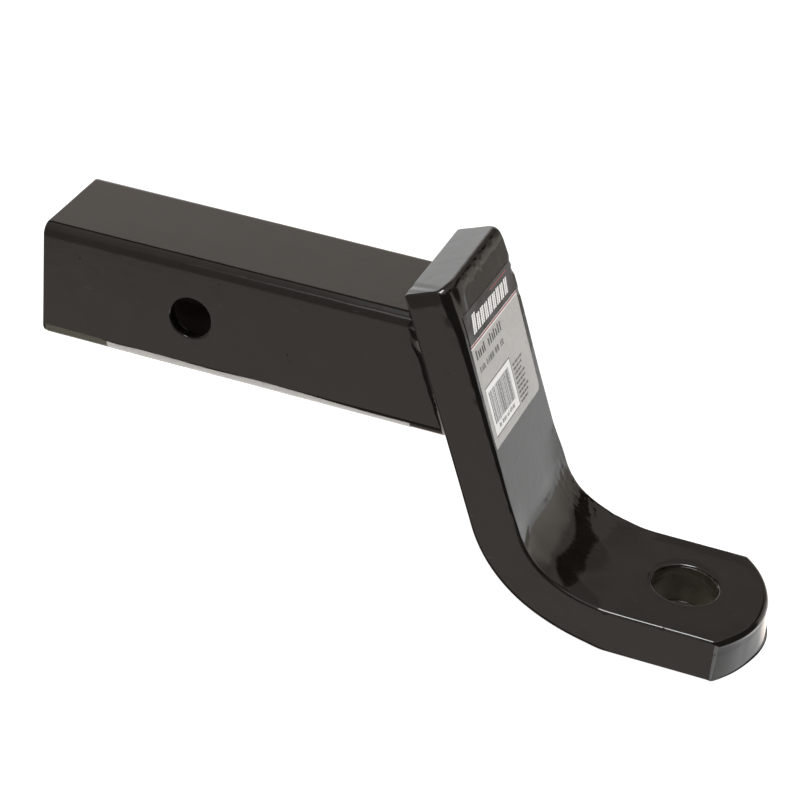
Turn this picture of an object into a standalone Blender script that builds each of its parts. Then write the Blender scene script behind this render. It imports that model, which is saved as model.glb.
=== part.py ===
"""Drop ball mount for a 2 inch trailer hitch receiver, in metres, +Z up.

The origin is the centre of the hitch pin hole, on the shank's axis.  +X runs along the shank
towards the ball platform, -Y is the side that carries the lapped label, and +Z is up when the
mount is pinned in a receiver.
"""

import math

import bmesh
import bpy
from mathutils import Vector

# Shank: hollow square tube
SHANK_SIDE = 0.0508
SHANK_CORNER_RADIUS = 0.0045
SHANK_WALL = 0.0048
SHANK_INNER_RADIUS = 0.0012
PIN_TO_OPEN_END = 0.065
PIN_HOLE_DIAMETER = 0.0176

# Drop plate: flat bar with a leaning upright, one bend and a level ball platform
PLATE_THICKNESS = 0.01905
PLATE_WIDTH = 0.065
PLATE_LEAN = math.radians(21.6)
PLATE_EDGE_RADIUS = 0.001
PIN_TO_PLATE_AT_TOP = 0.094
PLATE_ABOVE_SHANK = 0.0115
PLATFORM_TOP_Z = -0.0792
PIN_TO_BALL = 0.210
BALL_HOLE_DIAMETER = 0.0272
PIN_TO_PLATFORM_CORNER = 0.2305
PLATFORM_END_RADIUS = 0.046

# The bend is two arcs on each face: the upper one takes this share of the turn
UPPER_ARC_SHARE = 0.6
INNER_BEND_RADII = (0.0362, 0.0567)
OUTER_BEND_RADII = (0.0618, 0.0855)

# Fillet welds between the shank's end and the back of the plate
WELD_LEG = 0.0055
WELD_BULGE = 0.0009
TOP_WELD_LENGTH = 0.040
SIDE_WELD_TOP_Z = 0.0215
SIDE_WELD_BOTTOM_Z = -0.0225

# Labels
LABEL_THICKNESS = 0.00025
LABEL_CORNER_RADIUS = 0.003
FRONT_LABEL_WIDTH = 0.057
FRONT_LABEL_HEIGHT = 0.0565
FRONT_LABEL_DROP = 0.0295
FRONT_LABEL_OFFSET_Y = -0.0005
FRONT_LABEL_TILT = math.radians(2.7)
UNDER_LABEL_START_X = -0.0358
UNDER_LABEL_END_X = 0.0949
UNDER_LABEL_FAR_Y = 0.016

# Clearance between neighbouring pieces
GAP = 0.0003

ARC_STEPS = 14
HOLE_STEPS = 56

HALF_SIDE = SHANK_SIDE / 2
HALF_WIDTH = PLATE_WIDTH / 2
PLATFORM_BOTTOM_Z = PLATFORM_TOP_Z - PLATE_THICKNESS

# Directions of the upright, as (x, z): out of its front face, and down its slope
FACE_NORMAL = Vector((math.cos(PLATE_LEAN), math.sin(PLATE_LEAN)))
DOWN_SLOPE = Vector((math.sin(PLATE_LEAN), -math.cos(PLATE_LEAN)))

# Where the plate's back face crosses the shank's top face, as (x, z)
PLATE_ROOT = Vector((PIN_TO_PLATE_AT_TOP, HALF_SIDE))


def clear_scene():
    for obj in list(bpy.data.objects):
        bpy.data.objects.remove(obj, do_unlink=True)


def new_material(name, color, roughness, metallic=0.0):
    material = bpy.data.materials.new(name)
    material.use_nodes = True
    shader = material.node_tree.nodes["Principled BSDF"]
    shader.inputs["Base Color"].default_value = (*color, 1.0)
    shader.inputs["Roughness"].default_value = roughness
    shader.inputs["Metallic"].default_value = metallic
    return material


def new_object(name, bm, material=None):
    """Links the mesh as an object with outward faces, smooth except at its real edges."""
    bmesh.ops.recalc_face_normals(bm, faces=bm.faces)
    mesh = bpy.data.meshes.new(name)
    bm.to_mesh(mesh)
    bm.free()
    mesh.shade_smooth()
    mesh.set_sharp_from_angle(angle=math.radians(35))
    obj = bpy.data.objects.new(name, mesh)
    bpy.context.scene.collection.objects.link(obj)
    if material:
        mesh.materials.append(material)
    return obj


def cut(obj, cutter):
    """Removes the cutter's shape from the object and hides the cutter."""
    cutter.hide_render = True
    cutter.display_type = "WIRE"
    modifier = obj.modifiers.new("cut " + cutter.name, "BOOLEAN")
    modifier.operation = "DIFFERENCE"
    modifier.solver = "EXACT"
    modifier.object = cutter


def rounded_square(side, radius, steps=6):
    """Corner-rounded square around the shank's axis, as (y, z) points."""
    points = []
    reach = side / 2 - radius
    for corner in range(4):
        start = corner * math.pi / 2
        centre_y = reach * (1 if corner in (0, 3) else -1)
        centre_z = reach * (1 if corner in (0, 1) else -1)
        for step in range(steps + 1):
            angle = start + step / steps * math.pi / 2
            points.append((centre_y + radius * math.cos(angle), centre_z + radius * math.sin(angle)))
    return points


def plate_back_x(z, clearance=GAP):
    """X of the plane a clearance behind the plate's back face, at a height."""
    return PLATE_ROOT.x - (z - PLATE_ROOT.y) * math.tan(PLATE_LEAN) - clearance / math.cos(PLATE_LEAN)


def bridge(bm, ring_a, ring_b):
    """Quads between two rings with the same number of vertices."""
    count = len(ring_a)
    for index in range(count):
        following = (index + 1) % count
        bm.faces.new((ring_a[index], ring_a[following], ring_b[following], ring_b[index]))


def cylinder(name, radius, centre, axis, length):
    bm = bmesh.new()
    bmesh.ops.create_cone(
        bm, cap_ends=True, segments=HOLE_STEPS, radius1=radius, radius2=radius, depth=length
    )
    obj = new_object(name, bm)
    obj.rotation_mode = "QUATERNION"
    obj.rotation_quaternion = Vector((0, 0, 1)).rotation_difference(Vector(axis))
    obj.location = centre
    return obj


def shank_tube(material):
    """Square tube: a square-cut open end, and a mitred end that meets the leaning plate."""
    bm = bmesh.new()
    rings = []
    for side, radius in (
        (SHANK_SIDE, SHANK_CORNER_RADIUS),
        (SHANK_SIDE - 2 * SHANK_WALL, SHANK_INNER_RADIUS),
    ):
        profile = rounded_square(side, radius)
        rings.append(
            (
                [bm.verts.new((-PIN_TO_OPEN_END, y, z)) for y, z in profile],
                [bm.verts.new((plate_back_x(z), y, z)) for y, z in profile],
            )
        )
    (outer_open, outer_mitre), (inner_open, inner_mitre) = rings
    bridge(bm, outer_open, outer_mitre)
    bridge(bm, inner_mitre, inner_open)
    bridge(bm, inner_open, outer_open)
    bridge(bm, outer_mitre, inner_mitre)
    tube = new_object("shank_tube", bm, material)
    pin_hole = cylinder(
        "pin_hole_cutter", PIN_HOLE_DIAMETER / 2, (0, 0, 0), (0, 1, 0), SHANK_SIDE * 1.2
    )
    cut(tube, pin_hole)
    return tube


def bend_curve(offset, platform_z, radii):
    """(x, z) points of one face's bend, from the upright at an offset to the platform's level."""
    turn = math.pi / 2 - PLATE_LEAN
    heading = math.atan2(DOWN_SLOPE.y, DOWN_SLOPE.x)
    points = [Vector((0, 0))]
    for radius, share in zip(radii, (UPPER_ARC_SHARE, 1 - UPPER_ARC_SHARE)):
        centre = points[-1] + radius * Vector((-math.sin(heading), math.cos(heading)))
        for step in range(1, ARC_STEPS + 1):
            angle = heading + turn * share * step / ARC_STEPS
            points.append(centre + radius * Vector((math.sin(angle), -math.cos(angle))))
        heading += turn * share
    root = PLATE_ROOT + offset * FACE_NORMAL
    start_z = platform_z - points[-1].y
    start = root + DOWN_SLOPE * (root.y - start_z) / math.cos(PLATE_LEAN)
    return [start + point for point in points]


def drop_plate(material):
    """Bent flat bar: side outline swept across the width, bevelled, then cut to length and bored."""
    top_back = PLATE_ROOT - PLATE_ABOVE_SHANK * DOWN_SLOPE
    top_front = top_back + PLATE_THICKNESS * FACE_NORMAL
    rough_end_x = PIN_TO_PLATFORM_CORNER + PLATFORM_END_RADIUS
    outline = [top_back]
    outline += bend_curve(0, PLATFORM_BOTTOM_Z, OUTER_BEND_RADII)
    outline += [Vector((rough_end_x, PLATFORM_BOTTOM_Z)), Vector((rough_end_x, PLATFORM_TOP_Z))]
    outline += reversed(bend_curve(PLATE_THICKNESS, PLATFORM_TOP_Z, INNER_BEND_RADII))
    outline += [top_front]

    bm = bmesh.new()
    near = [bm.verts.new((point.x, -HALF_WIDTH, point.y)) for point in outline]
    far = [bm.verts.new((point.x, HALF_WIDTH, point.y)) for point in outline]
    bm.faces.new(near)
    bm.faces.new(reversed(far))
    bridge(bm, near, far)
    plate = new_object("drop_plate", bm, material)
    bevel = plate.modifiers.new("rolled edges", "BEVEL")
    bevel.width = PLATE_EDGE_RADIUS
    bevel.segments = 3
    bevel.limit_method = "ANGLE"
    bevel.angle_limit = math.radians(50)
    bevel.use_clamp_overlap = True

    cut(plate, platform_end_cutter(rough_end_x))
    ball_hole = cylinder(
        "ball_hole_cutter",
        BALL_HOLE_DIAMETER / 2,
        (PIN_TO_BALL, 0, (PLATFORM_TOP_Z + PLATFORM_BOTTOM_Z) / 2),
        (0, 0, 1),
        PLATE_THICKNESS * 2,
    )
    cut(plate, ball_hole)
    return plate


def platform_end_cutter(rough_end_x):
    """Block with a hollow arc in its side, which leaves the platform with a rounded end."""
    margin = 0.01
    half = HALF_WIDTH + margin
    centre_x = PIN_TO_PLATFORM_CORNER - math.sqrt(PLATFORM_END_RADIUS**2 - HALF_WIDTH**2)
    limit = math.asin(half / PLATFORM_END_RADIUS)
    outline = []
    for step in range(HOLE_STEPS + 1):
        angle = -limit + 2 * limit * step / HOLE_STEPS
        outline.append(
            (
                centre_x + PLATFORM_END_RADIUS * math.cos(angle),
                PLATFORM_END_RADIUS * math.sin(angle),
            )
        )
    outline += [(rough_end_x + margin, half), (rough_end_x + margin, -half)]
    bm = bmesh.new()
    low = [bm.verts.new((x, y, PLATFORM_BOTTOM_Z - margin)) for x, y in outline]
    high = [bm.verts.new((x, y, PLATFORM_TOP_Z + margin)) for x, y in outline]
    bm.faces.new(reversed(low))
    bm.faces.new(high)
    bridge(bm, low, high)
    return new_object("platform_end_cutter", bm)


def weld_bead(name, start, end, along_first, along_second, material):
    """Convex fillet bead in the corner between two faces, with rounded ends.

    start and end are points on the corner's line; the two directions run along the faces, away
    from the corner.
    """
    start, end = Vector(start), Vector(end)
    first, second = Vector(along_first).normalized(), Vector(along_second).normalized()
    corner_sine = first.cross(second).length
    inset = (first + second) * (GAP / corner_sine)
    outward = (first + second).normalized()
    toe_first, toe_second = first * WELD_LEG, second * WELD_LEG
    crown = (toe_first + toe_second) / 2 + outward * WELD_BULGE * 2
    face_steps = 8
    stations = 13

    bm = bmesh.new()
    sections = []
    for station in range(stations):
        travel = math.sin(math.pi / 2 * (station / (stations - 1) * 2 - 1))
        swell = math.sqrt(max(0.0, 1 - travel**6)) * 0.65 + 0.35
        place = start.lerp(end, (travel + 1) / 2) + inset
        points = [place]
        for step in range(face_steps + 1):
            t = step / face_steps
            curve = toe_first * (1 - t) ** 2 + crown * 2 * t * (1 - t) + toe_second * t**2
            points.append(place + curve * swell)
        sections.append([bm.verts.new(point) for point in points])
    for section, following in zip(sections, sections[1:]):
        bridge(bm, section, following)
    bm.faces.new(reversed(sections[0]))
    bm.faces.new(sections[-1])
    return new_object(name, bm, material)


def welds(material):
    """One bead on each wall of the shank, against the back of the plate."""
    up_plate = Vector((-DOWN_SLOPE.x, 0, -DOWN_SLOPE.y))
    behind_plate = Vector((-FACE_NORMAL.x, 0, -FACE_NORMAL.y))
    for name, sign, up_face in (("weld_top", 1, up_plate), ("weld_bottom", -1, -up_plate)):
        z = sign * HALF_SIDE
        x = plate_back_x(z, clearance=0)
        half_length = TOP_WELD_LENGTH / 2
        weld_bead(name, (x, -half_length, z), (x, half_length, z), (-1, 0, 0), up_face, material)
    for name, side in (("weld_near_side", -1), ("weld_far_side", 1)):
        ends = [
            (plate_back_x(z, clearance=0), side * HALF_SIDE, z)
            for z in (SIDE_WELD_TOP_Z, SIDE_WELD_BOTTOM_Z)
        ]
        weld_bead(name, ends[0], ends[1], behind_plate, (0, side, 0), material)


def front_label(material):
    """Rounded rectangle on the upright's front face, stuck on a little askew."""
    corners = []
    reach_y = FRONT_LABEL_WIDTH / 2 - LABEL_CORNER_RADIUS
    reach_v = FRONT_LABEL_HEIGHT / 2 - LABEL_CORNER_RADIUS
    steps = 5
    for corner in range(4):
        centre_y = reach_y * (1 if corner in (0, 3) else -1)
        centre_v = reach_v * (1 if corner in (0, 1) else -1)
        for step in range(steps + 1):
            angle = (corner + step / steps) * math.pi / 2
            across = centre_y + LABEL_CORNER_RADIUS * math.cos(angle)
            down = centre_v + LABEL_CORNER_RADIUS * math.sin(angle)
            corners.append(
                (
                    across * math.cos(FRONT_LABEL_TILT) - down * math.sin(FRONT_LABEL_TILT),
                    across * math.sin(FRONT_LABEL_TILT) + down * math.cos(FRONT_LABEL_TILT),
                )
            )
    bm = bmesh.new()
    layers = []
    for height in (GAP, GAP + LABEL_THICKNESS):
        face_root = PLATE_ROOT + FACE_NORMAL * (PLATE_THICKNESS + height)
        layer = []
        for across, down in corners:
            point = face_root + DOWN_SLOPE * (FRONT_LABEL_DROP + down)
            layer.append(bm.verts.new((point.x, FRONT_LABEL_OFFSET_Y + across, point.y)))
        layers.append(layer)
    bridge(bm, layers[0], layers[1])
    bm.faces.new(reversed(layers[0]))
    bm.faces.new(layers[1])
    return new_object("front_label", bm, material)


def underside_label(material):
    """Strip on the shank's underside that laps round the near lower corner."""
    corner_steps = 6
    bm = bmesh.new()
    rings = []
    for x in (UNDER_LABEL_START_X, UNDER_LABEL_END_X):
        section = []
        for height, reverse in ((GAP, False), (GAP + LABEL_THICKNESS, True)):
            radius = SHANK_CORNER_RADIUS + height
            centre = SHANK_CORNER_RADIUS - HALF_SIDE
            run = [
                (
                    centre - radius * math.cos(math.pi / 2 * step / corner_steps),
                    centre - radius * math.sin(math.pi / 2 * step / corner_steps),
                )
                for step in range(corner_steps + 1)
            ]
            run.append((UNDER_LABEL_FAR_Y, -HALF_SIDE - height))
            section += reversed(run) if reverse else run
        rings.append([bm.verts.new((x, y, z)) for y, z in section])
    bridge(bm, rings[0], rings[1])
    bm.faces.new(reversed(rings[0]))
    bm.faces.new(rings[1])
    return new_object("underside_label", bm, material)


def main():
    clear_scene()
    black_paint = (0.012, 0.011, 0.010)
    shank_tube(new_material("shank_paint", black_paint, 0.22))
    drop_plate(new_material("plate_paint", black_paint, 0.20))
    welds(new_material("weld_paint", black_paint, 0.28))
    front_label(new_material("front_label_print", (0.62, 0.61, 0.60), 0.45))
    underside_label(new_material("underside_label_print", (0.78, 0.77, 0.75), 0.45))


main()
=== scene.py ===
"""Looks of a gloss black drop ball mount: detailed skins, paint, labels and studio light.

Lengths are in metres in the frame's own axes: the origin is the centre of the hitch pin hole, +X runs
along the shank towards the ball platform, -Y is the near side, and +Z is up.
"""

import math

import bmesh
import bpy
import numpy as np
from mathutils import Matrix, Vector


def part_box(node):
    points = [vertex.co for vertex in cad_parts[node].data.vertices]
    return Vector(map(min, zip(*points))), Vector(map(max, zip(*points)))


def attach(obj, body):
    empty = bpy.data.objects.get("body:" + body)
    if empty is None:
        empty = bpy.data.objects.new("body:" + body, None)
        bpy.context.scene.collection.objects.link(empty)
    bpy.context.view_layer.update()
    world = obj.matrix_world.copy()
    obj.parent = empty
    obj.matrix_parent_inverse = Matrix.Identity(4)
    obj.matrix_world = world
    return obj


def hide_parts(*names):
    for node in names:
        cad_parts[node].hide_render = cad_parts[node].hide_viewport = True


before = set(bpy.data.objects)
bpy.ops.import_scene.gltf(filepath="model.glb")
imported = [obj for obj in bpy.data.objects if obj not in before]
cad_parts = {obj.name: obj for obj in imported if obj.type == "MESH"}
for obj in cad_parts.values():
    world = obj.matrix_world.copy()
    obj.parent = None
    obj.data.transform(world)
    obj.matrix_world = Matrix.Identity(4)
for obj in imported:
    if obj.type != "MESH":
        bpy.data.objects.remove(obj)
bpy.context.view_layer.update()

MM = 0.001

# Shank, from its CAD box
TUBE_LOW, TUBE_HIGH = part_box("shank_tube")
OPEN_END_X = TUBE_LOW.x
HALF_SIDE = TUBE_HIGH.y
TUBE_CORNER = 4.6 * MM
LOWER_CORNER = 5.4 * MM
TUBE_WALL = 4.8 * MM
BORE_CORNER = 1.2 * MM
SAW_EDGE = 0.45 * MM
PIN_RADIUS = 8.8 * MM
PIN_EDGE = 0.5 * MM
SEAM_HEIGHT = 0.7 * MM
SEAM_WIDTH = 1.3 * MM
TUBE_FLAT_CELLS, TUBE_CORNER_CELLS = 46, 16

# Plate, from its CAD box and the design's lean, bend and hole
PLATE_LOW, PLATE_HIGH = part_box("drop_plate")
HALF_WIDTH = PLATE_HIGH.y
PLATFORM_BOTTOM_Z = PLATE_LOW.z
TIP_X = PLATE_HIGH.x
PLATE_THICKNESS = 19.05 * MM
PLATFORM_TOP_Z = PLATFORM_BOTTOM_Z + PLATE_THICKNESS
LEAN = math.radians(21.6)
ROOT_X = 94.0 * MM
ABOVE_SHANK = 12.3 * MM
INNER_RADII = (36.2 * MM, 56.7 * MM)
OUTER_RADII = (61.8 * MM, 85.5 * MM)
UPPER_SHARE = 0.6
BALL_X = 210.0 * MM
BALL_RADIUS = 13.6 * MM
BALL_ROLL = 1.0 * MM
END_RADIUS = 46.0 * MM
END_SPREAD_FROM = 180.0 * MM
TIP_LEAN = 2.6 * MM

FACE_NORMAL = np.array((math.cos(LEAN), math.sin(LEAN)))
PLATE_NORMAL = np.array((FACE_NORMAL[0], 0, FACE_NORMAL[1]))
DOWN_SLOPE = np.array((math.sin(LEAN), -math.cos(LEAN)))
ROOT = np.array((ROOT_X, HALF_SIDE))

# Mesh pitch on the large faces
PITCH = 0.85 * MM


# ---- noise and small helpers


def waves(points, wavelength, seed, count=10):
    """Smooth noise from -1 to 1 over an array of points: plane waves in seeded directions."""
    random = np.random.default_rng(seed)
    total = np.zeros(points.shape[:-1])
    for _ in range(count):
        direction = random.normal(size=points.shape[-1])
        direction /= np.linalg.norm(direction)
        length = wavelength * random.uniform(0.6, 1.6)
        phase = random.uniform(0, 2 * math.pi)
        total += np.sin(points @ direction * (2 * math.pi / length) + phase)
    return total / math.sqrt(count) * 0.8


def smooth_step(value, low, high):
    t = np.clip((value - low) / (high - low), 0, 1)
    return t * t * (3 - 2 * t)


def bell(value, centre, width):
    return np.exp(-(((value - centre) / width) ** 2))


def along(values, positions, where):
    """Smooth curve through a few given values, read at an array of places."""
    positions, values = np.asarray(positions, float), np.asarray(values, float)
    slopes = np.gradient(values, positions)
    where = np.clip(where, positions[0], positions[-1])
    index = np.clip(np.searchsorted(positions, where) - 1, 0, len(positions) - 2)
    span = positions[index + 1] - positions[index]
    t = (where - positions[index]) / span
    return (
        values[index] * (1 + 2 * t) * (1 - t) ** 2
        + slopes[index] * span * t * (1 - t) ** 2
        + values[index + 1] * t * t * (3 - 2 * t)
        + slopes[index + 1] * span * t * t * (t - 1)
    )


class Skin:
    """Vertices and quads of one piece, gathered patch by patch."""

    def __init__(self):
        self.blocks = []
        self.quads = []
        self.inks = []
        self.count = 0

    def add(self, points):
        """Stores an array of points and gives back their numbers in the same layout."""
        flat = points.reshape(-1, 3)
        numbers = np.arange(self.count, self.count + len(flat)).reshape(points.shape[:-1])
        self.blocks.append(flat)
        self.count += len(flat)
        return numbers

    def fill(self, numbers, closed=False, keep=None, ink=None):
        """Quads over a grid of vertex numbers, rows by columns; keep drops some of them."""
        if closed:
            numbers = np.concatenate([numbers, numbers[:, :1]], axis=1)
        above, below = numbers[:-1], numbers[1:]
        quads = np.stack([above[:, :-1], above[:, 1:], below[:, 1:], below[:, :-1]], axis=-1)
        inks = np.zeros(quads.shape[:2], int) if ink is None else ink
        if keep is not None:
            quads, inks = quads[keep], inks[keep]
        self.quads.append(quads.reshape(-1, 4))
        self.inks.append(inks.reshape(-1))

    def points(self):
        return np.concatenate(self.blocks)


def merged(mesh):
    """Joins the patches' shared edges and points every face outwards."""
    bm = bmesh.new()
    bm.from_mesh(mesh)
    bmesh.ops.remove_doubles(bm, verts=bm.verts, dist=1.5e-6)
    bmesh.ops.dissolve_degenerate(bm, dist=1e-7, edges=bm.edges)
    bmesh.ops.recalc_face_normals(bm, faces=bm.faces)
    bm.to_mesh(mesh)
    bm.free()


def piece(name, skin, materials, node, shape):
    """Makes the object of a skin; shape(points, normals) gives each vertex's moved place."""
    mesh = bpy.data.meshes.new(name)
    mesh.from_pydata(skin.points().tolist(), [], np.concatenate(skin.quads).tolist())
    for material in materials:
        mesh.materials.append(material)
    mesh.polygons.foreach_set("material_index", np.concatenate(skin.inks).astype(np.int32))
    merged(mesh)
    count = len(mesh.vertices)
    places, normals = np.empty(count * 3), np.empty(count * 3)
    mesh.vertices.foreach_get("co", places)
    mesh.vertex_normals.foreach_get("vector", normals)
    moved = shape(places.reshape(-1, 3), normals.reshape(-1, 3))
    mesh.vertices.foreach_set("co", moved.reshape(-1))
    mesh.shade_smooth()
    mesh.update()
    obj = bpy.data.objects.new(name, mesh)
    bpy.context.scene.collection.objects.link(obj)
    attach(obj, "root")
    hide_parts(node)


def quarter(steps):
    """Sine and cosine along a quarter turn, its two ends included."""
    angle = np.linspace(0, math.pi / 2, steps + 1)
    return np.sin(angle), np.cos(angle)


def square_profile(side, radii):
    """Closed outline of a corner-rounded square as (y, z) points, one radius to each corner.

    The corners come in the order far upper, near upper, near lower, far lower.
    """
    half = side / 2
    outline = []
    for corner in range(4):
        turn = corner * math.pi / 2
        out = np.array((math.cos(turn), math.sin(turn)))
        left = np.array((-math.sin(turn), math.cos(turn)))
        before, after = half - radii[corner - 1], half - radii[corner]
        for step in range(TUBE_FLAT_CELLS):
            share = step / TUBE_FLAT_CELLS
            outline.append(out * half + left * (after * share - before * (1 - share)))
        for step in range(TUBE_CORNER_CELLS):
            angle = step / TUBE_CORNER_CELLS * math.pi / 2
            lean = out * math.cos(angle) + left * math.sin(angle)
            outline.append((out + left) * after + lean * radii[corner])
    return np.array(outline)


def square_edge(rows, columns):
    """Grid places round a rectangle of rows and columns, in order, as (row, column) pairs."""
    low_row, high_row = rows
    low_column, high_column = columns
    path = [(low_row, c) for c in range(low_column, high_column)]
    path += [(r, high_column) for r in range(low_row, high_row)]
    path += [(high_row, c) for c in range(high_column, low_column, -1)]
    path += [(r, low_column) for r in range(high_row, low_row, -1)]
    return np.array(path)


def rings_to_circle(edge, centre, radius, rings):
    """Rings of plane points from a closed edge in to a circle round the centre."""
    spoke = edge - centre
    circle = centre + radius * spoke / np.linalg.norm(spoke, axis=1, keepdims=True)
    share = (1 - np.linspace(0, 1, rings + 1) ** 0.8)[:, None, None]
    return circle * (1 - share) + edge * share


def round_mouth(skin, rings, keep, rows, columns, axes, level, centre, radius, steps, ink=0):
    """Leaves a window open in a grid of rings and fills it in to a round mouth; gives that ring.

    axes are the two that lie in the face, and level is the face's place along the third.
    """
    keep[rows[0] : rows[1], columns[0] : columns[1]] = False
    path = square_edge(tuple(rows), columns)
    plane = rings_to_circle(rings[path[:, 0], path[:, 1]][:, axes], centre, radius, steps)
    patch = np.full((*plane.shape[:2], 3), level)
    patch[..., axes] = plane
    skin.fill(skin.add(patch), closed=True, ink=np.full((steps, len(path)), ink))
    return plane[-1]


def hole_wall(skin, top, bottom, centre, radius, roll, to_space, depth_rings, wear=None, wall_ink=0):
    """Rolled edge, wall and rolled edge of a hole between two faces.

    top and bottom are the mouths' plane points; to_space(points, share, depth) puts plane points at
    a share of the wall, 0 at top and 1 at bottom, and a depth below it. wear(share, spoke) is the
    radius's growth on the wall, and wall_ink its material.
    """
    sines, cosines = quarter(5)
    stations = [(roll * (1 - s), roll * (1 - c), 0) for s, c in zip(sines, cosines)]
    stations += [(0, 0, share) for share in np.linspace(0, 1, depth_rings + 2)[1:-1]]
    stations += [(roll * (1 - s), -roll * (1 - c), 1) for s, c in zip(sines[::-1], cosines[::-1])]
    rows = []
    for growth, depth, share in stations:
        spoke = (top - centre) * (1 - share) + (bottom - centre) * share
        spoke /= np.linalg.norm(spoke, axis=1, keepdims=True)
        extra = wear(share, spoke) if wear and 0 < share < 1 else 0
        reach = np.broadcast_to(radius + growth + extra, len(spoke))[:, None]
        rows.append(to_space(centre + spoke * reach, share, depth))
    inks = np.zeros((len(rows) - 1, len(top)), int)
    inks[len(sines) : -len(sines)] = wall_ink
    skin.fill(skin.add(np.array(rows)), closed=True, ink=inks)


# ---- shank tube


def plate_back_x(z):
    """X of the plate's back face at a height."""
    return ROOT_X - (z - HALF_SIDE) * math.tan(LEAN)


def tube_point(x, y, z):
    """Shears the last stretch of the tube so that its end meets the leaning plate."""
    straight_to = 52.0 * MM
    stretch = (plate_back_x(z) - straight_to) / (ROOT_X - straight_to)
    return np.where(x > straight_to, straight_to + (x - straight_to) * stretch, x), y, z


def tube_rings(side, radii, xs, insets):
    """Rings of a square tube's wall: one profile at each x, drawn in by that place's inset."""
    rings = []
    for x, inset in zip(xs, insets):
        drawn_in = [max(radius - inset, 0.2 * MM) for radius in radii]
        profile = square_profile(side - 2 * inset, drawn_in)
        place = tube_point(np.full(len(profile), x), profile[:, 0], profile[:, 1])
        rings.append(np.stack(place, axis=-1))
    return np.array(rings)


def tube_wall_with_hole(skin, rings, edge_radius, ink):
    """Fills a tube's rings, leaving the pin hole in both side walls; gives each hole's inner ring."""
    numbers = skin.add(rings)
    keep = np.ones((rings.shape[0] - 1, rings.shape[1]), bool)
    half_window = edge_radius + 3.2 * MM
    rows = np.searchsorted(rings[:, 0, 0], (-half_window, half_window))
    window_cells = 28
    inner_rings = {}
    for side, first in ((1, 0), (-1, 2 * (TUBE_FLAT_CELLS + TUBE_CORNER_CELLS))):
        low_column = first + (TUBE_FLAT_CELLS - window_cells) // 2
        columns = (low_column, low_column + window_cells)
        face = [0, 2], rings[rows[0], low_column, 1]
        mouth = round_mouth(skin, rings, keep, rows, columns, *face, np.zeros(2), edge_radius, 8, ink)
        inner_rings[side] = mouth
    skin.fill(numbers, closed=True, keep=keep, ink=np.full(keep.shape, ink))
    return inner_rings


def tube_surface(points, normals):
    """Slight hollows of a rolled tube, sags of paint along its edges and the bore's weld seam."""
    x, y, z = points.T
    rise = 0.03 * MM * waves(points, 46 * MM, 3) + 0.005 * MM * waves(points, 13 * MM, 4)
    near_top = bell(z, HALF_SIDE - 1.2 * MM, 1.6 * MM) * bell(y, -HALF_SIDE, 1.2 * MM)
    rise += near_top * 0.09 * MM * waves(points * (0.4, 1, 1), 9 * MM, 5)
    half_bore = HALF_SIDE - TUBE_WALL + 0.1 * MM
    in_bore = (np.abs(y) < half_bore) & (np.abs(z) < half_bore)
    seam = in_bore * (z > 0) * bell(y, 6 * MM + 0.3 * MM * waves(points, 25 * MM, 6), SEAM_WIDTH)
    rise += seam * SEAM_HEIGHT * (1 + 0.25 * waves(points, 3 * MM, 7))
    return points + normals * rise[:, None]


def shank(paint, bore_paint):
    """The tube's outside, bore, two ends and the pin hole's two walls."""
    sines, cosines = quarter(4)
    rim_x = OPEN_END_X + SAW_EDGE * (1 - sines)
    rim_inset = SAW_EDGE * (1 - cosines)
    flat_xs = np.linspace(OPEN_END_X + SAW_EDGE, ROOT_X, 188)
    xs = np.concatenate([rim_x[::-1][:-1], flat_xs])
    insets = np.concatenate([rim_inset[::-1][:-1], np.zeros(len(flat_xs))])
    side = 2 * HALF_SIDE
    outer = tube_rings(side, (TUBE_CORNER, TUBE_CORNER, LOWER_CORNER, LOWER_CORNER), xs, insets)
    bore = tube_rings(side - 2 * TUBE_WALL, (BORE_CORNER,) * 4, xs, -insets)
    skin = Skin()
    edge_radius = PIN_RADIUS + PIN_EDGE
    outer_holes = tube_wall_with_hole(skin, outer, edge_radius, 0)
    bore_holes = tube_wall_with_hole(skin, bore, edge_radius, 1)
    share = np.linspace(0, 1, 7)[:, None, None]
    for end in (0, -1):
        skin.fill(skin.add(outer[end] * (1 - share) + bore[end] * share), closed=True)
    for sign in (1, -1):

        def to_space(plane, share, depth, sign=sign):
            y = sign * (HALF_SIDE - TUBE_WALL * share - depth)
            return np.stack([plane[:, 0], np.full(len(plane), y), plane[:, 1]], axis=-1)

        mouths = outer_holes[sign], bore_holes[sign]
        hole_wall(skin, *mouths, np.zeros(2), PIN_RADIUS, PIN_EDGE, to_space, 8)
    piece("shank_body", skin, [paint, bore_paint], "shank_tube", tube_surface)


# ---- drop plate

WIDTH_CELLS, SIDE_CELLS, CORNER_CELLS = 74, 22, 8
BEND_STEPS = 44


def bend_line(offset, level, radii):
    """(x, z) points of one face's bend, from the upright at an offset to the platform's level."""
    turn = math.pi / 2 - LEAN
    heading = math.atan2(DOWN_SLOPE[1], DOWN_SLOPE[0])
    points = [np.zeros(2)]
    for radius, share in zip(radii, (UPPER_SHARE, 1 - UPPER_SHARE)):
        centre = points[-1] + radius * np.array((-math.sin(heading), math.cos(heading)))
        for step in range(1, BEND_STEPS + 1):
            angle = heading + turn * share * step / BEND_STEPS
            points.append(centre + radius * np.array((math.sin(angle), -math.cos(angle))))
        heading += turn * share
    root = ROOT + offset * FACE_NORMAL
    start_z = level - points[-1][1]
    start = root + DOWN_SLOPE * (root[1] - start_z) / math.cos(LEAN)
    return start + np.array(points)


def steps_between(start, end):
    """How many mesh steps a straight stretch of the plate takes."""
    return max(2, int(round(np.linalg.norm(end - start) / PITCH)))


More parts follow.
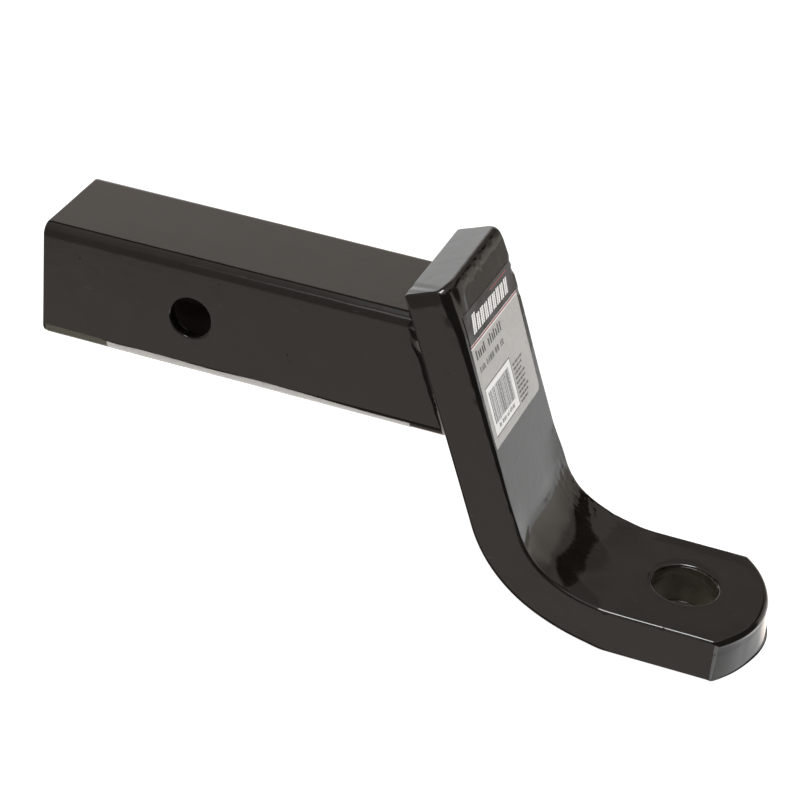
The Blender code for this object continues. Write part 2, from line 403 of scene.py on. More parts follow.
def plate_lines():
    """Matching (x, z) points along the back and front faces, from the top end to the tip."""
    back_bend = bend_line(0, PLATFORM_BOTTOM_Z, OUTER_RADII)
    # The outside of the bend runs on past the inside; its last stretch is drawn in to end level with it.
    late = np.clip((back_bend[:, 0] - 175 * MM) / (back_bend[-1, 0] - 175 * MM), 0, 1)
    back_bend[:, 0] -= (back_bend[-1, 0] - 188.8 * MM) * late**2
    front_bend = bend_line(PLATE_THICKNESS, PLATFORM_TOP_Z, INNER_RADII)
    top_back = ROOT - ABOVE_SHANK * DOWN_SLOPE
    top_front = top_back + PLATE_THICKNESS * FACE_NORMAL
    level_x = BALL_X - BALL_RADIUS - 7 * MM
    steps = max(steps_between(top_back, back_bend[0]), steps_between(top_front, front_bend[0]))
    faces = (top_back, back_bend, PLATFORM_BOTTOM_Z), (top_front, front_bend, PLATFORM_TOP_Z)
    lines = []
    for top, bend, level in faces:
        upright = top + (bend[0] - top) * (np.arange(steps)[:, None] / steps)
        square_on = np.array((level_x, level))
        run_in = bend[-1] + (square_on - bend[-1]) * np.arange(1, 3)[:, None] / 3
        tip = np.array((TIP_X, level))
        run_out = square_on + (tip - square_on) * np.arange(0, 67)[:, None] / 66
        lines.append(np.concatenate([upright, bend, run_in, run_out]))
    return lines


def section(back, front, radii, insets):
    """Closed outline round the plate at one station, as an array of points.

    radii are those of the front-near, front-far, back-far and back-near edges; insets draw in the
    front, the sides and the back.
    """
    front_in, side_in, back_in = insets
    thickness = np.linalg.norm(front - back)
    half = HALF_WIDTH - side_in
    low, high = back_in, thickness - front_in
    corners = ((-half, high, 1, -1), (half, high, -1, -1), (half, low, -1, 1), (-half, low, 1, 1))
    starts = (math.pi, math.pi / 2, 0, -math.pi / 2)
    arcs = []
    for (y, q, y_in, q_in), radius, start in zip(corners, radii, starts):
        angles = start - np.linspace(0, math.pi / 2, CORNER_CELLS + 1)
        centre = np.array((y + y_in * radius, q + q_in * radius))
        arcs.append(centre + radius * np.stack([np.cos(angles), np.sin(angles)], axis=-1))
    outline = []
    for arc, following, cells in zip(arcs, arcs[1:] + arcs[:1], (WIDTH_CELLS, SIDE_CELLS) * 2):
        share = np.arange(1, cells)[:, None] / cells
        outline += [arc, arc[-1] + (following[0] - arc[-1]) * share]
    y, q = np.concatenate(outline).T
    across = (front - back) / thickness
    return np.stack([back[0] + across[0] * q, y, back[1] + across[1] * q], axis=-1)


def spread_to_arc(points):
    """Bends the platform's last stretch from straight rows to its rounded end."""
    arc_centre = TIP_X - END_RADIUS
    end_x = arc_centre + np.sqrt(np.maximum(END_RADIUS**2 - points[..., 1] ** 2, 0))
    x = points[..., 0]
    depth = np.clip((PLATFORM_TOP_Z - points[..., 2]) / PLATE_THICKNESS, 0, 1)
    end_x += TIP_LEAN * depth**1.2 * smooth_step(points[..., 1], -20 * MM, 12 * MM)
    share = (x - END_SPREAD_FROM) / (TIP_X - END_SPREAD_FROM)
    points[..., 0] = np.where(share > 0, END_SPREAD_FROM + share * (end_x - END_SPREAD_FROM), x)
    return points


def edge_radii(down):
    """Radii of the plate's four long edges at a distance down the slope or out along the platform."""
    # The near front edge is rolled over at the sheared top end and crisp on the platform.
    near_front = along((3.2, 2.5, 1.8, 1.3, 0.8, 0.8, 0.85), (-11, 5, 30, 60, 95, 135, 165), down / MM)
    far_front = along((3.4, 1.5, 1.2, 1.2), (-11, 0, 60, 165), down / MM)
    return float(near_front) * MM, float(far_front) * MM, 1.2 * MM, 1.3 * MM


def plate_rings():
    """All sections of the plate from inside the top end's edge to inside the tip's edge."""
    back, front = plate_lines()
    travel = np.concatenate([[0], np.cumsum(np.linalg.norm(np.diff(front, axis=0), axis=1))])
    down = travel - ABOVE_SHANK
    sines, cosines = quarter(6)
    rings = []
    # How far each edge's rounding draws in the front, the sides and the back
    top_roll = (3.2 * MM, 1.2 * MM, 0.9 * MM)
    lip_drop, back_drop = 4.8 * MM, 1.0 * MM
    tip_roll = (2.7 * MM, 0.9 * MM, 0.3 * MM)
    radii = edge_radii(down[0])
    for s, c in list(zip(sines, cosines))[:-1]:
        insets = [roll * (1 - s) for roll in top_roll]
        back_point = back[0] + DOWN_SLOPE * back_drop * (1 - c)
        rings.append(section(back_point, front[0] + DOWN_SLOPE * lip_drop * (1 - c), radii, insets))
    below_lip = int(np.searchsorted(travel, lip_drop)) + 1
    for station in range(below_lip, len(front) - 3):
        radii = edge_radii(down[station])
        rings.append(section(back[station], front[station], radii, (0, 0, 0)))
    for s, c in list(zip(sines, cosines))[1:]:
        insets = [roll * (1 - c) for roll in tip_roll]
        pull = np.array((1 - s, 0))
        back_point = back[-1] - tip_roll[2] * pull
        rings.append(section(back_point, front[-1] - tip_roll[0] * pull, radii, insets))
    return spread_to_arc(np.array(rings))


def cap(skin, ring):
    """Fills one end's ring with a grid that has a quarter of its edge corners on each side."""
    half_corner = CORNER_CELLS // 2
    ring = np.roll(ring, -half_corner, axis=0)
    across, through = WIDTH_CELLS + CORNER_CELLS, SIDE_CELLS + CORNER_CELLS
    front = ring[: across + 1]
    far = ring[across : across + through + 1]
    back = ring[across + through : 2 * across + through + 1][::-1]
    near = np.concatenate([ring[2 * across + through :], ring[:1]])[::-1]
    u = np.linspace(0, 1, across + 1)[None, :, None]
    v = np.linspace(0, 1, through + 1)[:, None, None]
    flat = (1 - v) * front[None] + v * back[None] + (1 - u) * near[:, None] + u * far[:, None]
    flat -= (1 - u) * (1 - v) * front[0] + u * (1 - v) * front[-1]
    flat -= (1 - u) * v * back[0] + u * v * back[-1]
    skin.fill(skin.add(flat))


def ball_hole_wear(share, spoke):
    """Growth of the ball hole's radius below its burnished mouth, where the punching tore the steel."""
    angle = np.arctan2(spoke[:, 1], spoke[:, 0])
    step_at = 0.23 + 0.035 * np.sin(angle * 2 + 0.6) + 0.02 * np.sin(angle * 7 + 2)
    torn = smooth_step(share, step_at, step_at + 0.05)
    place = np.stack([np.cos(angle) * 14, np.sin(angle) * 14, np.full(len(angle), share * 19)], -1) * MM
    rough = waves(place * (1, 1, 0.4), 7 * MM, 21) + 0.3 * waves(place * (1, 1, 0.5), 3.5 * MM, 22)
    return torn * (0.30 * MM + 0.05 * MM * rough)


def plate_with_hole(skin, rings):
    """Fills the plate's rings but for the ball hole's mouths, then makes the hole itself."""
    numbers = skin.add(rings)
    keep = np.ones((rings.shape[0] - 1, rings.shape[1]), bool)
    front_first = CORNER_CELLS
    back_first = front_first + WIDTH_CELLS + 2 * CORNER_CELLS + SIDE_CELLS
    half_window = BALL_RADIUS + BALL_ROLL + 4 * MM
    window_cells = 44
    middle = front_first + WIDTH_CELLS // 2
    on_platform = rings[:, middle, 2] < PLATFORM_TOP_Z + 0.05 * MM
    row_x = np.where(on_platform, rings[:, middle, 0], -1)
    rows = np.searchsorted(row_x, (BALL_X - half_window, BALL_X + half_window + 1 * MM))
    centre = np.array((BALL_X, 0))
    mouths = []
    for first, level in ((front_first, PLATFORM_TOP_Z), (back_first, PLATFORM_BOTTOM_Z)):
        low_column = first + (WIDTH_CELLS - window_cells) // 2
        columns = (low_column, low_column + window_cells)
        radius = BALL_RADIUS + BALL_ROLL
        mouths.append(round_mouth(skin, rings, keep, rows, columns, [0, 1], level, centre, radius, 10))
    skin.fill(numbers, closed=True, keep=keep)

    def to_space(plane, share, depth):
        z = PLATFORM_TOP_Z - PLATE_THICKNESS * share - depth
        return np.concatenate([plane, np.full((len(plane), 1), z)], axis=-1)

    # The back's columns run the other way, so its ring is reversed and turned to start beside the top's.
    top, bottom = mouths[0], mouths[1][::-1]
    angles = np.arctan2(bottom[:, 1], bottom[:, 0] - BALL_X)
    start = math.atan2(top[0, 1], top[0, 0] - BALL_X)
    turn = np.argmin(np.abs(np.angle(np.exp(1j * (angles - start)))))
    bottom = np.roll(bottom, -turn, axis=0)
    hole_wall(skin, top, bottom, centre, BALL_RADIUS, BALL_ROLL, to_space, 30, ball_hole_wear, 1)


def corner_fall(points):
    """How far the front face falls away at the near top corner."""
    up_slope = -(points[:, (0, 2)] - ROOT) @ DOWN_SLOPE
    near = smooth_step(-points[:, 1], 20 * MM, 33 * MM)
    return 1.9 * MM * smooth_step(up_slope, -8 * MM, 10 * MM) * near


def plate_surface(points, normals):
    """Rolling waves, the bend's stretch marks, the sheared top end and the cropped tip."""
    x, y, z = points.T
    flat = points[:, (0, 2)]
    up_slope = -(flat - ROOT) @ DOWN_SLOPE
    depth = (flat - ROOT) @ FACE_NORMAL
    rise = 0.04 * MM * waves(points, 52 * MM, 11) + 0.005 * MM * waves(points, 11 * MM, 12)

    facing_in = smooth_step(normals[:, 0] * 0.7 + normals[:, 2], 0.45, 0.7)
    in_bend = smooth_step(-z, 38 * MM, 58 * MM) * (1 - smooth_step(x, 172 * MM, 196 * MM))
    # Bending hollowed the inside of the bend across its width and turned its edges up.
    far_flare = 0.0022 * np.maximum(y / MM - 8, 0) ** 2
    near_flare = 0.0040 * np.maximum(-y / MM - 18.5, 0) ** 2
    hollow = 0.85 * smooth_step(y, -16 * MM, 16 * MM) * smooth_step(-z, 50 * MM, 69 * MM)
    rise += facing_in * in_bend * MM * (far_flare + near_flare - hollow)
    stretched = in_bend * smooth_step(-z, 46 * MM, 58 * MM) * smooth_step(y, 12 * MM, 29 * MM)
    marks = waves(points * (0.5, 1.5, 0.5), 3.6 * MM, 13)
    marks += 0.6 * waves(points * (0.9, 1.6, 0.9), 2.4 * MM, 18)
    rise += facing_in * stretched * 0.07 * MM * marks
    on_platform = facing_in * smooth_step(x, 176 * MM, 190 * MM)
    rise -= on_platform * smooth_step(y, HALF_WIDTH - 9 * MM, HALF_WIDTH + 1 * MM) * 0.22 * MM
    rise += on_platform * smooth_step(-y, 0, HALF_WIDTH) * 0.4 * MM
    rise += on_platform * 0.018 * MM * waves(points * (1, 0.6, 1), 15 * MM, 24)
    # Punching left the top face standing up a little round the ball hole; shearing drew down the tip.
    from_hole = np.maximum(np.hypot(x - BALL_X, y) - BALL_RADIUS, 0)
    arc = np.hypot(x - (TIP_X - END_RADIUS), y) - END_RADIUS
    rise += on_platform * 0.30 * MM * np.exp(-from_hole / (2.6 * MM))
    rise -= on_platform * 0.3 * MM * smooth_step(arc, -8 * MM, 0 * MM) * (x > 205 * MM)

    on_top_end = smooth_step(up_slope, ABOVE_SHANK - 2.2 * MM, ABOVE_SHANK - 0.6 * MM)
    dents = waves(points * (1, 0.7, 1), 24 * MM, 14) + 0.10 * waves(points * (0.7, 1.1, 0.7), 7 * MM, 15)
    rise += on_top_end * 0.11 * MM * dents
    near_fold = bell(y + 0.5 * depth, -HALF_WIDTH + 9 * MM, 2.0 * MM)
    near_fold += 0.8 * bell(y + 0.2 * depth, -HALF_WIDTH + 2.5 * MM, 1.6 * MM)
    rise -= on_top_end * 0.26 * MM * near_fold
    lip = bell(up_slope, ABOVE_SHANK - 2.5 * MM, 2.5 * MM) * smooth_step(depth, 12 * MM, 17 * MM)
    lip_folds = waves(points * (0.6, 1, 0.6), 13 * MM, 19)
    lip_folds += 0.5 * waves(points * (0.8, 1.3, 0.8), 5 * MM, 20)
    rise += lip * 0.08 * MM * lip_folds
    wrinkled = bell(up_slope, 4 * MM, 9 * MM) * smooth_step(depth, 12 * MM, 17 * MM)
    wrinkles = waves(points * (0.5, 1.2, 0.5), 6 * MM, 23)
    rise += wrinkled * MM * wrinkles * (0.022 + 0.07 * bell(y, -HALF_WIDTH + 2 * MM, 6 * MM))
    near_edge = bell(y, -HALF_WIDTH, 3 * MM) * smooth_step(depth, 14 * MM, 18 * MM)
    near_edge *= smooth_step(z, -60 * MM, -20 * MM)
    rise += near_edge * 0.09 * MM * waves(points * (1, 0.3, 1), 7 * MM, 25)

    on_tip = (x > 226 * MM) * smooth_step(arc, -1.2 * MM, -0.3 * MM)
    tip_depth = (PLATFORM_TOP_Z - z) / PLATE_THICKNESS
    torn = smooth_step(tip_depth, 0.26, 0.34)
    rise += on_tip * MM * (0.02 * waves(points * (1, 1, 0.4), 8 * MM, 16) + torn * 0.10)

    moved = points + normals * rise[:, None]
    # The sheared end runs up towards its near side, where the blade rounded the front corner off.
    skew = smooth_step(up_slope, 2 * MM, 11 * MM) * (HALF_WIDTH - y) / (2 * HALF_WIDTH) * 1.3 * MM
    moved[:, (0, 2)] -= DOWN_SLOPE * skew[:, None]
    fall = corner_fall(points) * smooth_step(depth, 8 * MM, 18 * MM)
    moved[:, (0, 2)] -= FACE_NORMAL * fall[:, None]
    return nicked(moved, normals)


# Small knocks in the plate's edges: x, y, z of each, then its radius and depth, in millimetres
EDGE_KNOCKS = (
    (109.5, -12.0, 42.0, 1.2, 1.2),
    (110.6, -9.5, 39.8, 1.1, 0.7),
    (109.3, -1.0, 42.6, 1.4, 1.2),
    (109.6, 8.0, 42.6, 1.1, 0.9),
    (111.0, 15.0, 40.4, 1.0, 0.8),
    (113.0, 32.2, 29.0, 1.3, 0.6),
    (114.6, 32.2, 25.5, 1.5, 0.8),
    (118.0, 32.3, 16.0, 1.2, 0.5),
    (185.0, -32.3, -79.5, 0.8, 0.16),
    (208.0, -32.3, -79.5, 0.8, 0.13),
)


def nicked(points, normals):
    """Presses the edge knocks into the plate."""
    for x, y, z, radius, depth in EDGE_KNOCKS:
        distance = np.linalg.norm(points - np.array((x, y, z)) * MM, axis=1)
        points = points - normals * (depth * MM * bell(distance, 0, radius * MM))[:, None]
    return points


def drop_plate(paint, hole_paint_and_painted_light):
    """The plate's faces, its two ends and its ball hole."""
    rings = plate_rings()
    skin = Skin()
    plate_with_hole(skin, rings)
    cap(skin, rings[0])
    cap(skin, rings[-1])
    piece("drop_plate_body", skin, [paint, hole_paint_and_painted_light], "drop_plate", plate_surface)


# ---- welds

TUBE_FLAT = HALF_SIDE - TUBE_CORNER
TUBE_TURN = TUBE_CORNER * math.pi / 2


def joint_line(distance):
    """(y, z) on the shank's outline and its outward direction, at a distance from the top's middle."""
    if distance <= TUBE_FLAT:
        return np.array((-distance, HALF_SIDE)), np.array((0.0, 1.0))
    if distance <= TUBE_FLAT + TUBE_TURN:
        angle = (distance - TUBE_FLAT) / TUBE_CORNER
        out = np.array((-math.sin(angle), math.cos(angle)))
        return np.array((-TUBE_FLAT, TUBE_FLAT)) + out * TUBE_CORNER, out
    return np.array((-HALF_SIDE, TUBE_FLAT - (distance - TUBE_FLAT - TUBE_TURN))), np.array((-1.0, 0.0))


def weld_bead(name, span, legs, flip, ripple, bulge, seed, paint):
    """Fillet bead along the joint between two distances; flip mirrors it in (y, z)."""
    start, end = span
    stations, face_cells = int((end - start) / (0.4 * MM)), 16
    flip = np.array(flip)
    sections = []
    for station in range(stations + 1):
        share = station / stations
        distance = start + (end - start) * share
        place, out = joint_line(distance)
        place, out = place * flip, out * flip
        corner = np.array((plate_back_x(place[1]), place[0], place[1]))
        out = np.array((0, *out))
        along_plate = out - PLATE_NORMAL * (out @ PLATE_NORMAL)
        along_plate /= np.linalg.norm(along_plate)
        along_tube = -PLATE_NORMAL - out * (-PLATE_NORMAL @ out)
        along_tube /= np.linalg.norm(along_tube)
        end_taper = min(share, 1 - share) * (end - start) / (3.2 * MM)
        taper = math.sqrt(max(0.0, 1 - (1 - min(end_taper, 1)) ** 2))
        leg = float(along(legs[1], legs[0], distance / MM)) * MM
        noise = waves(np.array([[distance, seed * 0.01, 0]]), 9 * MM, seed)[0]
        leg_tube = leg * (1 + 0.06 * noise) * (0.15 + 0.85 * taper)
        leg_plate = leg * (0.95 - 0.05 * noise) * (0.15 + 0.85 * taper)
        points = []
        for step in range(face_cells + 1):
            t = step / face_cells
            crest = math.sin(math.pi * t)
            chevron = distance + 1.6 * MM * crest
            scallop = abs(math.sin(math.pi * chevron / (2.4 * MM))) - 0.6
            height = (bulge + ripple * scallop) * MM * crest * taper
            outward = along_tube * leg_plate + along_plate * leg_tube
            outward /= np.linalg.norm(outward)
            edge = along_tube * leg_tube * (1 - t) + along_plate * leg_plate * t
            points.append(corner + edge + outward * height)
        sunk = -(along_tube + along_plate) * 0.5 * MM
        points.append(corner + along_plate * leg_plate * 0.5 + sunk * 1.5)
        points.append(corner + sunk)
        points.append(corner + along_tube * leg_tube * 0.5 + sunk * 1.5)
        sections.append(points)
    sections = np.array(sections)
    # Each end closes to a point in the middle of its section.
    for end_index, inner in ((0, 1), (-1, -2)):
        closing = (sections[end_index] - sections[inner]).mean(axis=0)
        sections[end_index] = sections[inner].mean(axis=0) + closing
    skin = Skin()
    skin.fill(skin.add(sections), closed=True)

    def shape(points, normals):
        lumps = 0.35 * waves(points, 5 * MM, seed + 40) + 0.14 * waves(points, 2.2 * MM, seed + 41)
        rise = ripple * MM * lumps
        return points + normals * rise[:, None]

    piece(name + "_bead", skin, [paint], name, shape)


def welds(paint):
    side_start = TUBE_FLAT + 0.35 * TUBE_TURN
    side_end = TUBE_FLAT + TUBE_TURN + TUBE_FLAT + 22.5 * MM
    side_legs = ((22, 25, 29, 34.6, 39, 48, 60, 71), (4.2, 5.6, 5.2, 6.0, 5.3, 4.9, 4.6, 3.9))
    top_legs = ((-22, -10, 0, 12, 22, 27), (5.0, 5.8, 5.4, 5.9, 5.2, 4.6))
    top_span = (-20.0 * MM, 24.6 * MM)
    weld_bead("weld_near_side", (side_start, side_end), side_legs, (1, 1), 0.02, 0.3, 51, paint)
    weld_bead("weld_far_side", (side_start, side_end), side_legs, (-1, 1), 0.30, 0.75, 52, paint)
    weld_bead("weld_top", top_span, top_legs, (1, 1), 0.28, 0.75, 53, paint)
    weld_bead("weld_bottom", top_span, top_legs, (-1, -1), 0.30, 0.75, 54, paint)


# ---- labels

PAPER, HEADER, WHITE, RED, DARK_INK, PALE_INK_AND_PAINTED_SHADE, OLIVE_STRIP, OLIVE_STRIP_PAINTED_SHADE = range(8)
LABEL_CELL = 0.25 * MM
LABEL_WIDTH = 57.0 * MM
LABEL_HEIGHT = 56.5 * MM
LABEL_DROP = 29.5 * MM
LABEL_OFFSET_Y = -0.5 * MM
LABEL_TILT = math.radians(2.7)
LABEL_FILM = 0.12 * MM


def mark_box(inks, across, down, left, right, top, bottom, ink):
    """Prints one upright box in an ink; all are in millimetres."""
    inks[(across > left) & (across < right) & (down > top) & (down < bottom)] = ink


def picket_line(inks, across, down, span, top, height, stroke, seed, ink):
    """A line of plain upright strokes in word-long groups, standing in for a line of print."""
    random = np.random.default_rng(seed)
    place, right = span
    while place < right:
        for _ in range(random.integers(3, 8)):
            if place + stroke > right:
                break
            rise = random.choice((0.0, 0.0, 0.25)) * height
            mark_box(inks, across, down, place, place + stroke, top + rise, top + height, ink)
            place += stroke * random.choice((1.6, 2.0))
        place += stroke * 2.2


def word_bars(inks, across, down, span, top, height, seed, ink):
    """A line of plain bars as long as words, standing in for a line of very small print."""
    random = np.random.default_rng(seed)
    place, right = span
    while place < right:
        length = random.uniform(1.2, 3.4)
        mark_box(inks, across, down, place, min(place + length, right), top, top + height, ink)
        place += length + 0.5


def front_label_inks(across, down):
    """Ink of each cell of the front label, from its place in millimetres from the label's middle."""
    inks = np.full(across.shape, PAPER)
    inks[down < -15.6] = HEADER
    inks[(down > -15.6) & (down < -14.0)] = WHITE
    inks[(down > -15.3) & (down < -14.5)] = RED
    # Pairs of leaning strokes in place of a name, the first pair taller
    lean = across + (down + 21.5) * 0.25
    for index in range(9):
        left = -21.5 + index * 4.85
        high = -25.6 if index == 0 else -24.3 + 0.3 * (index % 2)
        for stroke in (0, 2.05):
            mark_box(inks, lean, down, left + stroke, left + stroke + 1.6, high, -17.9, WHITE)
    mark_box(inks, across, down, 3.0, 23.5, -26.6, -26.1, RED)
    picket_line(inks, across, down, (-25.5, 9.5), -12.6, 4.1, 1.25, 61, DARK_INK)
    picket_line(inks, across, down, (-25.0, 4.5), -5.6, 2.6, 0.7, 62, DARK_INK)
    for row in range(9):
        end = 18.5 - (row % 3) * 1.5
        word_bars(inks, across, down, (6.5, end), 7.6 + row * 2.0, 0.9, 63 + row, PALE_INK_AND_PAINTED_SHADE)
    # Stock patch: white with a thin frame and plain bars of no code
    mark_box(inks, across, down, -25.6, 4.9, 3.6, 24.4, PALE_INK_AND_PAINTED_SHADE)
    mark_box(inks, across, down, -25.3, 4.6, 3.9, 24.1, WHITE)
    random = np.random.default_rng(80)
    place = -23.0
    while place < 2.0:
        width = random.choice((0.25, 0.5, 0.5, 0.75))
        mark_box(inks, across, down, place, place + width, 6.2, 19.8, DARK_INK)
        place += width + random.choice((0.25, 0.5, 0.5))
    picket_line(inks, across, down, (-20.0, 0.0), 20.8, 1.7, 0.5, 81, DARK_INK)
    return inks


def film_edges(grid, drop):
    """The film's top grid with one more row all round, dropped to the steel."""
    padded = np.pad(grid, ((1, 1), (1, 1), (0, 0)), mode="edge")
    for side in (padded[0], padded[-1], padded[:, 0], padded[:, -1]):
        side += drop
    return padded


def front_label(inks_materials):
    """Square film with rounded corners, lying a little askew on the plate's front face."""
    columns, rows = int(LABEL_WIDTH / LABEL_CELL), int(LABEL_HEIGHT / LABEL_CELL)
    a = np.linspace(-LABEL_WIDTH / 2, LABEL_WIDTH / 2, columns + 1)
    d = np.linspace(-LABEL_HEIGHT / 2, LABEL_HEIGHT / 2, rows + 1)
    across, down = np.meshgrid(a, d)
    # Corner cells slide in to the rounded corners' arcs; the near lower corner is almost square.
    for side, end, radius in ((-1, -1, 2), (1, -1, 2), (1, 1, 3), (-1, 1, 0.7)):
        reach = radius * MM
        over_a = across * side - (LABEL_WIDTH / 2 - reach)
        over_d = down * end - (LABEL_HEIGHT / 2 - reach)
        corner = (over_a > 0) & (over_d > 0)
        square = np.maximum(over_a, over_d)
        shrink = np.where(corner, square / np.maximum(np.hypot(over_a, over_d), 1e-9), 1)
        across = np.where(corner, side * (LABEL_WIDTH / 2 - reach + over_a * shrink), across)
        down = np.where(corner, end * (LABEL_HEIGHT / 2 - reach + over_d * shrink), down)
    middle_a, middle_d = np.meshgrid((a[:-1] + a[1:]) / 2, (d[:-1] + d[1:]) / 2)
    inks = front_label_inks(middle_a / MM, middle_d / MM)
    cosine, sine = math.cos(LABEL_TILT), math.sin(LABEL_TILT)
    y = LABEL_OFFSET_Y + across * cosine - down * sine
    drop = LABEL_DROP + across * sine + down * cosine
    lift = LABEL_FILM + 0.03 * MM
    x = ROOT[0] + FACE_NORMAL[0] * (PLATE_THICKNESS + lift) + DOWN_SLOPE[0] * drop
    z = ROOT[1] + FACE_NORMAL[1] * (PLATE_THICKNESS + lift) + DOWN_SLOPE[1] * drop
    grid = film_edges(np.stack([x, y, z], axis=-1), -PLATE_NORMAL * lift)
    skin = Skin()
    skin.fill(skin.add(grid), ink=np.pad(inks, 1, mode="edge"))

    def shape(points, normals):
        follow = 0.04 * MM * waves(points, 52 * MM, 11)
        film = 0.006 * MM * waves(points, 9 * MM, 90)
        return points + PLATE_NORMAL * (follow + film - corner_fall(points))[:, None]

    name = "front_label"
    piece(name + "_film", skin, inks_materials, name, shape)


UNDER_LABEL_X = (OPEN_END_X + 1.4 * MM, 94.9 * MM)
UNDER_PAPER_X = -35.8 * MM
UNDER_LABEL_FAR_Y = 16.0 * MM


def underside_label(inks_materials):
    """Strip on the shank's underside that laps round its near lower edge, a little unevenly."""
    columns = int((UNDER_LABEL_X[1] - UNDER_LABEL_X[0]) / (0.5 * MM))
    x = np.linspace(*UNDER_LABEL_X, columns + 1)
    lap_edge = along(
        (6, 1, 0, 2, 5, 8, 6, 8, 11, 5, 9, 15, 18, 17),
        (-72, -66, -58, -47, -38, -35, -20, -5, 10, 30, 50, 68, 80, 94.9),
        x / MM,
    )
    corner_steps, flat_steps = 14, 80
    lift = LABEL_FILM + 0.03 * MM
    radius = LOWER_CORNER + lift
    centre = HALF_SIDE - LOWER_CORNER
    rows = []
    for step in range(corner_steps):
        start = np.radians(lap_edge)
        angle = start + (math.pi / 2 - start) * step / corner_steps
        y = -centre - radius * np.cos(angle)
        z = -centre - radius * np.sin(angle)
        rows.append(np.stack([x, y, z], axis=-1))
    for share in np.linspace(0, 1, flat_steps + 1):
        y = np.full(len(x), -centre + (UNDER_LABEL_FAR_Y + centre) * share)
        rows.append(np.stack([x, y, np.full(len(x), -HALF_SIDE - lift)], axis=-1))
    grid = np.array(rows)
    padded = np.pad(grid, ((1, 1), (1, 1), (0, 0)), mode="edge")
    edge = np.ones(padded.shape[:2], bool)
    edge[1:-1, 1:-1] = False
    from_axis = padded * (0, 1, 1)
    padded[edge] -= (from_axis / np.linalg.norm(from_axis, axis=-1, keepdims=True))[edge] * lift
    inks = np.full((padded.shape[0] - 1, padded.shape[1] - 1), PAPER)
    from_paper = (UNDER_LABEL_X[0] - UNDER_PAPER_X) / MM
    cell_x, row = np.meshgrid(np.arange(inks.shape[1]) * 0.5, np.arange(inks.shape[0]) * 0.5)
    middle_x = cell_x + from_paper
    # The strip's outer end, beyond the paper, is olive.
    inks[middle_x < 0] = OLIVE_STRIP
    # Painted shade: the olive strip is darker on its rows that turn round the corner to face down.
    inks[(middle_x < 0) & (row > 1.6)] = OLIVE_STRIP_PAINTED_SHADE
    # Painted shade: a band of the pale ink across the paper's rows that turn to face down, at the
    # paper's end beside the olive strip.
    inks[(middle_x >= 0) & (middle_x < 34) & (row > 3.1) & (row < 5.6)] = PALE_INK_AND_PAINTED_SHADE
    for line in range(6):
        top = 19.5 + line * 3.6
        length = 118 - (line % 3) * 14
        picket_line(inks, middle_x, row, (8, length), top, 1.6, 0.9, 100 + line, PALE_INK_AND_PAINTED_SHADE)
    inks[(row > 8.4) & (row < 9.6) & (middle_x > 0)] = RED
    skin = Skin()
    skin.fill(skin.add(padded), ink=inks)

    def shape(points, normals):
        follow = 0.03 * MM * waves(points, 46 * MM, 3)
        wrinkle = 0.02 * MM * waves(points * (1, 0.5, 0.5), 7 * MM, 91)
        return points + normals * (follow + wrinkle)[:, None]

    name = "underside_label"
    piece(name + "_film", skin, inks_materials, name, shape)


# ---- materials


class Nodes:
    """Shorthand for building one material's nodes."""

    def __init__(self, tree):
        self.tree = tree

    def add(self, kind, **settings):
        node = self.tree.nodes.new(kind)
        for name, value in settings.items():
            setattr(node, name, value)
        return node

    def link(self, source, target):
        self.tree.links.new(source, target)

    def put(self, node, **values):
        """Sets sockets by name, with _ for each space."""
        for name, value in values.items():
            node.inputs[name.replace("_", " ")].default_value = value

    def maths(self, operation, *sources):
        node = self.add("ShaderNodeMath", operation=operation)
        for source, target in zip(sources, node.inputs):
            self.link(source, target)
        return node.outputs[0]

    def noise(self, place, scale, detail=3.0, roughness=0.5):
        node = self.add("ShaderNodeTexNoise")
        self.put(node, Scale=scale, Detail=detail, Roughness=roughness)
        self.link(place, node.inputs["Vector"])
        return node.outputs["Fac"]

    def moved(self, place, operation, by):
        """A texture place shifted (ADD) or scaled (MULTIPLY) by a vector."""
        node = self.add("ShaderNodeVectorMath", operation=operation)
        self.link(place, node.inputs[0])
        node.inputs[1].default_value = by
        return node.outputs[0]

    def spots(self, place, scale, size, shift):
        """Sparse round spots: 1 at each one's middle, falling to 0 at its rim."""
        shifted = self.moved(place, "ADD", (shift, shift * 0.7, shift * 1.3))
        cells = self.add("ShaderNodeTexVoronoi", feature="F1")
        self.put(cells, Scale=scale)
        self.link(shifted, cells.inputs["Vector"])
        return self.remap(cells.outputs["Distance"], 0, size, 1, 0)

    def remap(self, value, low, high, to_low, to_high):
        node = self.add("ShaderNodeMapRange", interpolation_type="SMOOTHSTEP")
        self.put(node, From_Min=low, From_Max=high, To_Min=to_low, To_Max=to_high)
        self.link(value, node.inputs["Value"])
        return node.outputs["Result"]

    def blend(self, factor, first, second):
        node = self.add("ShaderNodeMix", data_type="RGBA")
        self.link(factor, node.inputs[0])
        for socket, value in ((node.inputs[6], first), (node.inputs[7], second)):
            if isinstance(value, tuple):
                socket.default_value = (*value, 1)
            else:
                self.link(value, socket)
        return node.outputs[2]

    def laid_over(self, below, masks, colour):
        """One colour laid over another where all the masks are 1."""
        product = masks[0]
        for mask in masks[1:]:
            product = self.maths("MULTIPLY", product, mask)
        return self.blend(product, below, colour)

    def bump(self, height, distance, below=None):
        node = self.add("ShaderNodeBump")
        self.put(node, Strength=1.0, Distance=distance)
        self.link(height, node.inputs["Height"])
        if below:
            self.link(below, node.inputs["Normal"])
        return node.outputs["Normal"]


def new_material(name):
    material = bpy.data.materials.new(name)
    material.use_nodes = True
    nodes = Nodes(material.node_tree)
    shader = material.node_tree.nodes["Principled BSDF"]
    place = nodes.add("ShaderNodeTexCoord").outputs["Object"]
    return material, nodes, shader, place


